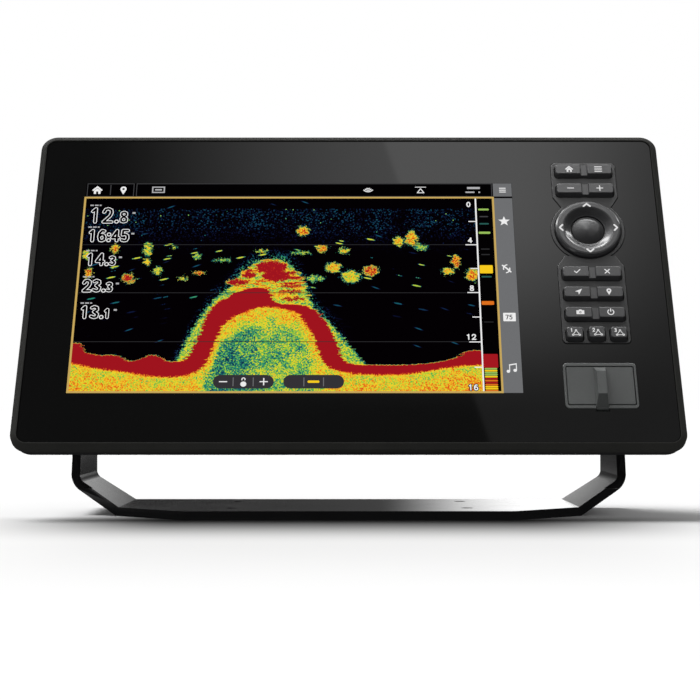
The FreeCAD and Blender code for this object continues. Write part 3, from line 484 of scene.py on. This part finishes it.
# Echoes: u, v, half width, half height, strength.
ECHOES = [
    (-35, 9, 9, 4, 1.5), (-45, 5, 4, 2, 1.3), (-33, 4, 8, 3, 1.4), (-50, 1, 6, 2, 1.3), (-27, 6, 5, 1, 1.4),
    (-26, 3, 6, 1, 1.4), (-26, -1, 6, 1, 1.4), (-26, -4, 7, 1, 1.4), (-25, -8, 7, 1, 1.4),
    (-100, 3, 3, 3, 1.0), (-107, 19, 2, 3, 0.8), (-118, 6, 2, 3, 0.85), (-120, 16, 2, 3, 0.65),
    (-92, 19, 2, 5, 0.6), (-92, 12, 2, 2, 0.7), (-87, 7, 2, 3, 0.6), (-75, 3, 3, 1, 0.65),
    (-68, 6, 3, 1, 0.85), (-69, 15, 2, 2, 0.5), (-21, 29, 3, 3, 0.8), (-2, 18, 3, 2, 0.65),
    (10, 7, 4, 3, 0.9), (1, 4, 5, 4, 0.65), (-7, 9, 4, 3, 0.7), (23, 23, 3, 3, 0.7),
    (29, 25, 3, 5, 0.75), (33, 20, 4, 2, 0.5), (49, 12, 2, 4, 0.85), (45, 7, 3, 2, 0.7),
    (56, 5, 3, 4, 0.8), (-12, 19, 3, 2, 0.8), (-15, 3, 5, 2, 0.5), (-22, 17, 6, 1, 0.5),
    (-40, 18, 3, 1, 0.6), (-80, 20, 2, 1, 0.5), (-58, 13, 5, 1, 0.5),
]


def sonar_colour():
    """Echo strength over the picture, turned into the display's colours."""
    where = coords()
    u, v, _ = separate(where)
    speck = static(where, 0.5)
    grainy = (speck - 0.5) * 0.75 + (noise(where, 1.25, 1.0, 0.6) - 0.5) * 1.1
    patchy = noise(where, 0.14, 3.0, 0.6) - 0.5
    jag = noise(scaled(where, (0.35, 1.2, 1.0)), 0.8, 3.0, 0.8) - 0.5
    row_shift = static(scaled(where, (0.2, 1.0, 1.0)), 0.8) - 0.5
    edge_u = u + jag * 7.0 + row_shift * 1.4
    top = profile(edge_u, SEA_TOP, -60, 20)
    under = profile(edge_u, SEA_UNDER, -60, 20)
    fringe = profile(edge_u, FRINGE, -60, 20)
    hump = smooth(u, -70, -60) * (1 - smooth(u, -20, -8))
    steep = smooth(u, -84, -70) * (1 - smooth(u, -12, 4))
    above = v - fringe
    # Mid-water: blue haze at the top and round the hump, and short dashes.
    broad = noise(where, 0.1, 2.0)
    cloud = noise(where, 0.9, 3.0, 0.7)
    upper = smooth(v, 14, 34) * (1 - smooth(v, 41.2, 41.8))
    haze = smooth(speck * 0.5 + cloud + broad * 0.4, 0.98, 1.3) * upper * 0.3
    dots, pick = cells(where, 0.62)
    sparks = (1 - smooth(dots, 0.12, 0.26)) * smooth(pick, 0.9, 0.95) * upper * 0.55
    around = smooth(cloud + speck * 0.4 + broad * 0.4, 0.9, 1.15) * (1 - smooth(above, 0.0, 9.0))
    around = around * steep * 0.5
    away = op("ABSOLUTE", u - CREST_U)
    dash, chosen = cells(combine(u * 0.24, (v + away * 0.22) * 1.25), 0.36)
    dashes = (1 - smooth(dash + grainy * 0.06, 0.12, 0.24)) * smooth(chosen, 0.52, 0.58) * 0.62
    dashes = dashes * (1 - smooth(v, 24, 30)) * smooth(v, -26, 4)
    slow, kept = cells(combine(u * 0.22, (v + away * 0.4) * 1.2), 0.28)
    faint = (1 - smooth(slow, 0.05, 0.18)) * smooth(kept, 0.58, 0.7) * 0.32
    streaks = op("MAXIMUM", op("MAXIMUM", dashes, faint), around)
    strength = op("MAXIMUM", op("MAXIMUM", haze, sparks), streaks)
    rough_u = u + (noise(where, 0.45, 4.0, 0.85) - 0.5) * 10.0
    rough_v = v + (noise(scaled(where, (1, 1, 1), 1.0), 0.5, 4.0, 0.85) - 0.5) * 8.0
    blobs = Term(0.0)
    for eu, ev, half_w, half_h, peak in ECHOES:
        a = (rough_u - eu) / half_w
        b = (rough_v - ev) / half_h
        reach = 1 - op("MULTIPLY_ADD", a, a, b * b)
        blobs = op("MAXIMUM", blobs, smooth(reach, -0.25, 0.75) * peak)
    strength = op("MAXIMUM", strength, smooth(blobs, 0.16, 0.3) * (blobs + grainy * 0.4))
    # The fringe, the strong echo off the bottom, and what lies under it.
    layers = noise(scaled(where, (0.3, 1.6, 1.0)), 0.3, 3.0, 0.7)
    crown = smooth(v, -14, 4) * smooth(layers, 0.44, 0.6) * smooth(u, -60, -44)
    fringe_fill = 0.54 + grainy * 0.34 - smooth(above, -3.0, 0.5) * 0.16 + patchy * 0.3 + crown * 0.42
    fringe_fill = op("MAXIMUM", fringe_fill, smooth(blobs, 0.6, 1.0) * (1.05 + grainy * 0.3))
    strength = mix(1 - smooth(above, -0.4, 0.4), strength, fringe_fill)
    depth = under - v
    floor_fill = 0.63 + smooth(depth, 1.0, 9.0) * 0.1 + patchy * 0.44 + grainy * 0.38
    flank = smooth(u, -30, -56) * smooth(depth, 2.0, 12.0)
    hump_fill = 0.68 - smooth(depth, 3.0, 15.0) * 0.18 - flank * 0.12 + patchy * 0.5 + grainy * 0.36
    fill = mix(hump, floor_fill, hump_fill)
    band = 1 - smooth(v - top + grainy * 0.5, -0.3, 0.3)
    strength = mix(band, strength, 1.0)
    strength = mix(smooth(depth + grainy * 1.8, -0.4, 0.6), strength, op("MINIMUM", fill, 0.86))
    return ramp(op("MINIMUM", op("MAXIMUM", strength, 0.0), 1.0), [
        (0.0, rgb(3, 1, 3)), (0.1, rgb(6, 6, 22)), (0.2, rgb(16, 28, 62)), (0.32, rgb(22, 84, 104)),
        (0.42, rgb(40, 142, 108)), (0.5, rgb(110, 186, 66)), (0.58, rgb(190, 208, 52)),
        (0.67, rgb(240, 214, 48)), (0.76, rgb(240, 158, 34)), (0.85, rgb(222, 86, 28)),
        (0.93, rgb(174, 26, 30)), (1.0, rgb(158, 20, 30)),
    ])


sonar, sonar_output = new_material("sonar_picture")
emission = Term.tree.nodes.new("ShaderNodeEmission")
plug(emission.inputs["Color"], sonar_colour())
Term.tree.links.new(emission.outputs[0], sonar_output.inputs[0])

BLACK = glow("screen_black", rgb(3, 2, 3))
WHITE = glow("screen_white", rgb(238, 238, 238))
PALE = glow("screen_pale", rgb(176, 176, 178))
DIM = glow("screen_dim", rgb(66, 66, 68))
FAINT = glow("screen_faint", rgb(44, 44, 46))
GOLD = glow("screen_gold", rgb(198, 166, 92))
GREY = glow("screen_grey", rgb(110, 111, 113))
PILL = glow("screen_pill", rgb(52, 50, 54))
YELLOW = glow("screen_yellow", rgb(246, 202, 30))
ORANGE = glow("screen_orange", rgb(222, 112, 30))
RED = glow("screen_red", rgb(164, 24, 32))
TEAL = glow("screen_teal", rgb(40, 92, 84))
LIME = glow("screen_lime", rgb(150, 190, 90))

marks("screen_backing", block(-122.9, 76.3, -56.2, 55.9), H_BACKING, BLACK)
marks("sonar_picture", block(VIEW_LEFT, SCALE_U, VIEW_LOW, VIEW_HIGH), H_PICTURE, sonar)
side_bar = block(BAR_LEFT, BAR_RIGHT, VIEW_LOW, 47.4) + block(BAR_LEFT, BAR_RIGHT, 48.4, BAR_HIGH)
marks("toolbar", side_bar, H_PICTURE, GREY)
bar_lines = outline(-122.4, -100.4, 48.2, BAR_HIGH, 0.35) + outline(-99.4, 67.0, 48.2, BAR_HIGH, 0.35)
marks("top_bar_lines", bar_lines + block(-111.6, -111.2, 49.2, 55.0), H_LINE, DIM)
marks("picture_border", outline(-123.3, 67.7, -56.2, 48.2, 0.95), H_BORDER, GOLD)
grid = [p for v in GRID_HEIGHTS for p in block(-122, SCALE_U - 0.4, v - 0.16, v + 0.16)]
marks("grid_lines", grid, H_LINE, FAINT)
scale = block(SCALE_U - 0.3, SCALE_U + 0.4, VIEW_LOW, SCALE_HIGH)
for step in range(1, 8):
    length = 5.4 if step % 2 == 0 else 3.6
    v = SCALE_HIGH - step * SCALE_STEP
    scale += block(SCALE_U - length, SCALE_U, v - 0.25, v + 0.25)
marks("depth_scale", scale, H_MARK, WHITE)
shadows, numbers = [], []
for words, v in (("0", 42.6), ("4", 22.6), ("8", -3.4), ("12", -29.0), ("16", -54.6)):
    start = 56.8 - (1.9 if len(words) == 1 else 4.3)
    shadows += figures(words, start, v, 2.5, 1.8, 1.3)
    numbers += figures(words, start, v, 2.5, 1.8, 0.55)
marks("scale_shadows", shadows, H_PLATE, BLACK)
marks("scale_figures", numbers, H_FIGURE, WHITE)

# The column of live echoes at the right of the picture: look, height on the face, thickness, width.
LIVE_U = 62.6  # the column's middle
LIVE = [(LIME, 41, 1, 5), (DIM, 37, 0.6, 4), (TEAL, 33, 0.8, 4.4), (LIME, 28, 1.2, 5.4)]
LIVE += [(FAINT, 19, 0.6, 4), (FAINT, 16, 0.6, 4), (YELLOW, 8, 4.4, 6), (TEAL, 4, 0.8, 4.6)]
LIVE += [(ORANGE, -10, 2, 5.6), (FAINT, -20, 0.4, 4.4), (RED, -40, 7, 6.6)]
STRIPES = [LIME, YELLOW, LIME, LIME, YELLOW, RED, ORANGE, RED, ORANGE, YELLOW, YELLOW, ORANGE]
LIVE += [(look, -44 - i, 0.8, 5.6) for i, look in enumerate(STRIPES)]
for index, (look, v, tall, wide) in enumerate(LIVE):
    left, low = LIVE_U - wide / 2, v - tall / 2
    bar = rounded_block(left, left + wide, low, low + tall, min(tall, 1) / 2.1)
    marks(f"live_echo_{index}", bar, H_MARK, look)

# Readouts down the left of the picture, as outlined figures under dashes that stand for their labels.
edges, fills, labels = [], [], []
for whole, tenth, u, v, tall in (
    ("12.", "8", -119.6, 34.0, 7.4), ("16:45", "", -119.6, 23.6, 5.6), ("14.", "3", -119.6, 10.6, 5.6),
    ("23.", "3", -120.0, -3.6, 5.6), ("13.", "1", -120.0, -17.6, 5.6),
):
    wide = tall * 0.6
    after = u + sum(1.32 if sign in FIGURES else 0.5 for sign in whole) * wide
    for target, width in ((edges, 1.75), (fills, 1.05)):
        target += figures(whole, u, v, tall, wide, width)
        target += figures(tenth, after, v, tall * 0.74, wide * 0.74, width * 0.9)
    for start, end in ((-0.6, 1.0), (1.5, 3.2), (3.7, 4.6)):
        labels += block(u + start, u + end, v + tall + 1.6, v + tall + 2.3)
    unit = after + (wide * 1.2 if tenth else 0)
    labels += block(unit, unit + 1.4, v + tall * 0.62, v + tall * 0.62 + 0.9)
marks("readout_edges", edges, H_PLATE, WHITE)
marks("readout_fills", fills, H_FIGURE, BLACK)
marks("readout_labels", labels, H_PLATE, PALE)

icons = shift(MENU, 71.9, 52.0, 1.7) + shift(STAR, 71.9, 34.4, 2.8) + shift(SWIRL, 71.9, 8.3, 2.4)
icons += shift(NOTE, 71.9, -43.6, 2.4) + rounded_block(69.2, 74.8, -19.6, -15.2, 0.3)
marks("toolbar_icons", icons, H_MARK, WHITE)
marks("toolbar_number", figures("75", 70.3, -18.5, 2.1, 1.3, 0.42), H_BORDER, DIM)
FAN = [p for r in (0.5, 0.95, 1.4) for p in ring(0, 0.8, r, 0.26, 215, 325, 8)]
TRIANGLE = stroke([(-0.9, -0.9), (0.9, -0.9), (0, 0.5), (-0.9, -0.9)], 0.24) + block(-1.5, 1.5, 0.9, 1.1)
icons = shift(HOME, -117.6, 52.0, 2.5) + shift(PIN, -105.4, 51.9, 2.4)
icons += shift(FAN, 9.1, 52.2, 1.9) + shift(TRIANGLE, 33.6, 52.0, 1.7)
marks("top_bar_icons", icons, H_MARK, WHITE)
boxes = outline(-92.0, -86.0, 50.4, 54.0, 0.6) + block(-90.6, -87.4, 51.8, 52.6)
boxes += block(55.4, 61.4, 52.6, 53.8) + block(54.6, 58.8, 50.4, 51.2) + block(60.6, 61.4, 50.4, 51.2)
marks("top_bar_boxes", boxes, H_MARK, PALE)

pills = rounded_block(-59.4, -32.8, -53.9, -47.1, 3.3) + rounded_block(-28.6, -2.0, -53.9, -47.1, 3.3)
marks("gain_pills", pills, H_PLATE, PILL)
dividers = [p for u in (-50.6, -41.8, -19.6, -11.0) for p in block(u - 0.2, u + 0.2, -52.8, -48.4)]
marks("pill_lines", dividers, H_MARK, GREY)
dial = disc(-46.1, -51.7, 1.3) + ring(-46.1, -49.3, 0.7, 0.45, -40, 220, 10)
marks("pill_icons", shift(MINUS, -55.0, -50.5, 2.0) + shift(PLUS, -37.2, -50.5, 2.0) + dial, H_MARK, WHITE)
marks("pill_bar", rounded_block(-18.0, -12.8, -51.1, -49.9, 0.5), H_MARK, YELLOW)

# ---- Legends on the keys -------------------------------------------------------------------------
LEGEND_RISE = 0.02  # millimetres over the key's face
CURSOR_FACE = 2.6  # the cursor ring's face above the glass, in millimetres
# The key legends and the cursor's chevrons are white print, drawn glowing so they stay bright whatever the
# light: a painted light.
painted_glow_legend = glow("painted_glow_legend_white", rgb(226, 226, 226))


def key_legend(node, *icons):
    """Prints icons on a key's top face, spread over its halves."""
    local = [PANEL.inverted() @ v.co for v in frame["nodes"][node].data.vertices]
    height = max(p.z for p in local)
    top = [p for p in local if p.z > height - 0.05]
    u = (min(p.x for p in top) + max(p.x for p in top)) / 2
    v = (min(p.y for p in top) + max(p.y for p in top)) / 2
    polygons = []
    for icon, across, size in icons:
        polygons += shift(icon, u + across, v, size)
    return marks(node + "_legend", polygons, height + LEGEND_RISE, painted_glow_legend, node)


key_legend("home_menu_key", (HOME, -6.8, 1.95), (MENU, 6.8, 1.95))
key_legend("zoom_key", (MINUS, -6.8, 1.75), (PLUS, 6.8, 1.75))
key_legend("confirm_cancel_key", (TICK, -6.8, 1.6), (CROSS, 6.8, 1.7))
key_legend("goto_mark_key", (ARROW, -6.8, 1.75), (PIN, 6.8, 1.8))
key_legend("capture_power_key", (CAMERA, -6.8, 1.75), (POWER, 6.8, 1.85))
for number in (1, 2, 3):
    key_legend(f"preset_key_{number}", (waypoint(number), 0, 1.9))
ring_u, ring_v = on_face(joints["cursor_roll"]["pos_m"])
chevrons = []
for turn in range(4):
    angle = math.radians(90 * turn)
    c, s = math.cos(angle), math.sin(angle)
    bent = [(12.5 + b, a) for a, b in ((-1.5, -0.6), (0, 0.75), (1.5, -0.6))]
    chevrons += shift(stroke([(p * c - q * s, p * s + q * c) for p, q in bent], 0.8), ring_u, ring_v)
marks("cursor_chevrons", chevrons, CURSOR_FACE + 0.03, painted_glow_legend, "cursor_ring")


# ---- The bracket, with its sheared edges eased ---------------------------------------------------
def eased(node, width):
    """A copy of a CAD node with small rounded edges, which stands for it."""
    source = frame["nodes"][node]
    mesh = source.data.copy()
    mesh.shade_smooth()
    piece = bpy.data.objects.new(node + "_eased", mesh)
    bpy.context.scene.collection.objects.link(piece)
    weld = piece.modifiers.new("weld", "WELD")
    weld.merge_threshold = 1e-6
    flatten = piece.modifiers.new("flatten", "DECIMATE")
    flatten.decimate_type = "DISSOLVE"
    flatten.angle_limit = math.radians(1.0)
    bevel = piece.modifiers.new("bevel", "BEVEL")
    bevel.width = width
    bevel.segments = 3
    bevel.angle_limit = math.radians(40)
    level = piece.modifiers.new("level", "WEIGHTED_NORMAL")
    level.weight = 100
    bpy.context.view_layer.update()
    final = bpy.data.meshes.new_from_object(piece.evaluated_get(bpy.context.evaluated_depsgraph_get()))
    piece.modifiers.clear()
    piece.data = final
    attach(piece, source["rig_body"])
    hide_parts(node)
    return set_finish(piece, source["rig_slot"])


BRACKET_EDGE = 0.0006  # metres
eased("gimbal_bracket", BRACKET_EDGE)

# ---- Floor, light and camera ---------------------------------------------------------------------
def panel(name, corners, material, hidden=()):
    """A flat sheet through four corners, kept out of the object."""
    mesh = bpy.data.meshes.new(name)
    mesh.from_pydata(corners, [], [range(4)])
    mesh.materials.append(material)
    sheet = bpy.data.objects.new(name, mesh)
    bpy.context.scene.collection.objects.link(sheet)
    for kind in hidden:
        setattr(sheet, "visible_" + kind, False)
    return sheet


def card(name, corners, strength):
    """A sheet of light that only glossy surfaces see, as strong as strength(x, y, z)."""
    look, look_output = new_material(name)
    emitter = Term.tree.nodes.new("ShaderNodeEmission")
    plug(emitter.inputs["Strength"], strength(*separate(coords())))
    Term.tree.links.new(emitter.outputs[0], look_output.inputs[0])
    panel(name, corners, look, ("camera", "diffuse", "shadow"))


def bright_behind(x):
    """Dark at the left, bright at the right."""
    return smooth(x, -0.2, 0.06) * 0.06 + smooth(x, 0.03, 0.21) * 1.6 + 0.014


# The floor is white to the camera, with a painted soft shadow in front of the base. The bracket's gloss
# sees it darker, with light at the far left and behind on the right, and it throws little light up.
floor_look, output = new_material("floor")
x, y, _ = separate(coords())
# Painted shadow: the floor's colour darkens just in front of the base and fades out forwards and to the
# sides.
ahead = y * -1.0 - 0.047
shade = (1 - smooth(ahead, 0.0, 0.12)) * 0.8 + (1 - smooth(ahead, 0.1, 0.35)) * 0.14
shade = shade * (1 - smooth(op("ABSOLUTE", x), 0.07, 0.18)) * smooth(ahead, -0.03, 0.0)
mottle = noise(coords(), 6.0, 3.0) * 0.03 + 0.93
path = Term.tree.nodes.new("ShaderNodeLightPath")
lit = Term.tree.nodes.new("ShaderNodeBsdfDiffuse")
plug(lit.inputs["Color"], ramp(mottle * (1 - shade), [(0.0, (0, 0, 0, 1)), (1.0, (1, 1, 1, 1))]))
seen = Term.tree.nodes.new("ShaderNodeEmission")
left_side = smooth(x, -0.16, -0.3) * 0.9
gloss_view = op("MAXIMUM", bright_behind(x) * smooth(y, 0.0, 0.2) * 0.6, left_side) + 0.01
glossy_ray = Term(path.outputs["Is Glossy Ray"])
plug(seen.inputs["Strength"], mix(glossy_ray, 0.4, gloss_view))
blend = Term.tree.nodes.new("ShaderNodeMixShader")
plug(blend.inputs[0], Term(path.outputs["Is Camera Ray"]))
Term.tree.links.new(seen.outputs[0], blend.inputs[1])
Term.tree.links.new(lit.outputs[0], blend.inputs[2])
Term.tree.links.new(blend.outputs[0], output.inputs[0])
panel("floor", [(-6, -4, 0), (6, -4, 0), (6, 8, 0), (-6, 8, 0)], floor_look)


def overhead(x, y, _):
    """A broad glow with a slanted edge, seen in the glass."""
    edge = smooth(x - (y * -0.3333 - 0.148), -0.004, 0.004)
    glow_x = smooth(x, -0.36, 0.1) * (1 - smooth(x, 0.2, 0.5))
    glow_y = smooth(y, -1.02, -0.66)
    return (glow_x * glow_y * 0.056 + edge * (glow_y * 0.012 + 0.0075) + 0.004) / 0.043


def rear_overhead(_, y, __):
    """Light on the edges and slopes that face up."""
    return smooth(y, 0.2, 0.35) * (1 - smooth(y, 0.45, 0.6)) * 9.0


def backdrop(x, _, z):
    """Dark at the left and bright at the right, seen in the bracket."""
    upper_glow = 0.7 - smooth(x, -0.16, 0.0) * 0.56 + smooth(z, 0.4, 0.6) * smooth(x, -0.1, 0.1) * 1.3
    return mix(smooth(z, 0.13, 0.18), bright_behind(x), upper_glow)


level = [(-1.2, -2.2, 1.5), (1.2, -2.2, 1.5), (1.2, 0.2, 1.5), (-1.2, 0.2, 1.5)]
card("overhead_reflector", level, overhead)
slope = [(-1.6, 0.21, 1.5), (1.6, 0.21, 1.5), (1.6, 1.1, 1.21), (-1.6, 1.1, 1.21)]
card("rear_overhead_reflector", slope, rear_overhead)
upright = [(-1.6, 1.1, 0.001), (1.6, 1.1, 0.001), (1.6, 1.1, 1.2), (-1.6, 1.1, 1.2)]
card("backdrop_reflector", upright, backdrop)

SUN_FROM, SUN_SPREAD, SUN_STRENGTH = (-0.38, 0.2, 0.9), 35, 2.6
CAMERA_AT, CAMERA_TILT, LENS_MM, SENSOR_MM = (0.0006, -0.7894, 0.0514), 91.7, 88.4, 36
sun = bpy.data.lights.new("key_light", "SUN")
sun.energy = SUN_STRENGTH
sun.angle = math.radians(SUN_SPREAD)
key_light = bpy.data.objects.new("key_light", sun)
bpy.context.scene.collection.objects.link(key_light)
key_light.rotation_euler = Vector(SUN_FROM).to_track_quat("Z", "Y").to_euler()

world = bpy.data.worlds.new("studio")
bpy.context.scene.world = world
world.use_nodes = True
Term.tree = world.node_tree
Term.tree.nodes.clear()
path = Term.tree.nodes.new("ShaderNodeLightPath")
background = Term.tree.nodes.new("ShaderNodeBackground")
camera_ray, glossy_ray = Term(path.outputs["Is Camera Ray"]), Term(path.outputs["Is Glossy Ray"])
plug(background.inputs["Strength"], mix(camera_ray, mix(glossy_ray, 0.36, 0.04), 1.0))
output = Term.tree.nodes.new("ShaderNodeOutputWorld")
Term.tree.links.new(background.outputs[0], output.inputs[0])
background.inputs["Color"].default_value = (1, 1, 1, 1)

lens = bpy.data.cameras.new("view")
lens.lens = LENS_MM
lens.sensor_width = SENSOR_MM
camera = bpy.data.objects.new("view", lens)
bpy.context.scene.collection.objects.link(camera)
camera.location = CAMERA_AT
camera.rotation_euler = (math.radians(CAMERA_TILT), 0, 0)
bpy.context.scene.camera = camera
bpy.context.scene.view_settings.view_transform = "Standard"
bpy.context.scene.view_settings.look = "None"
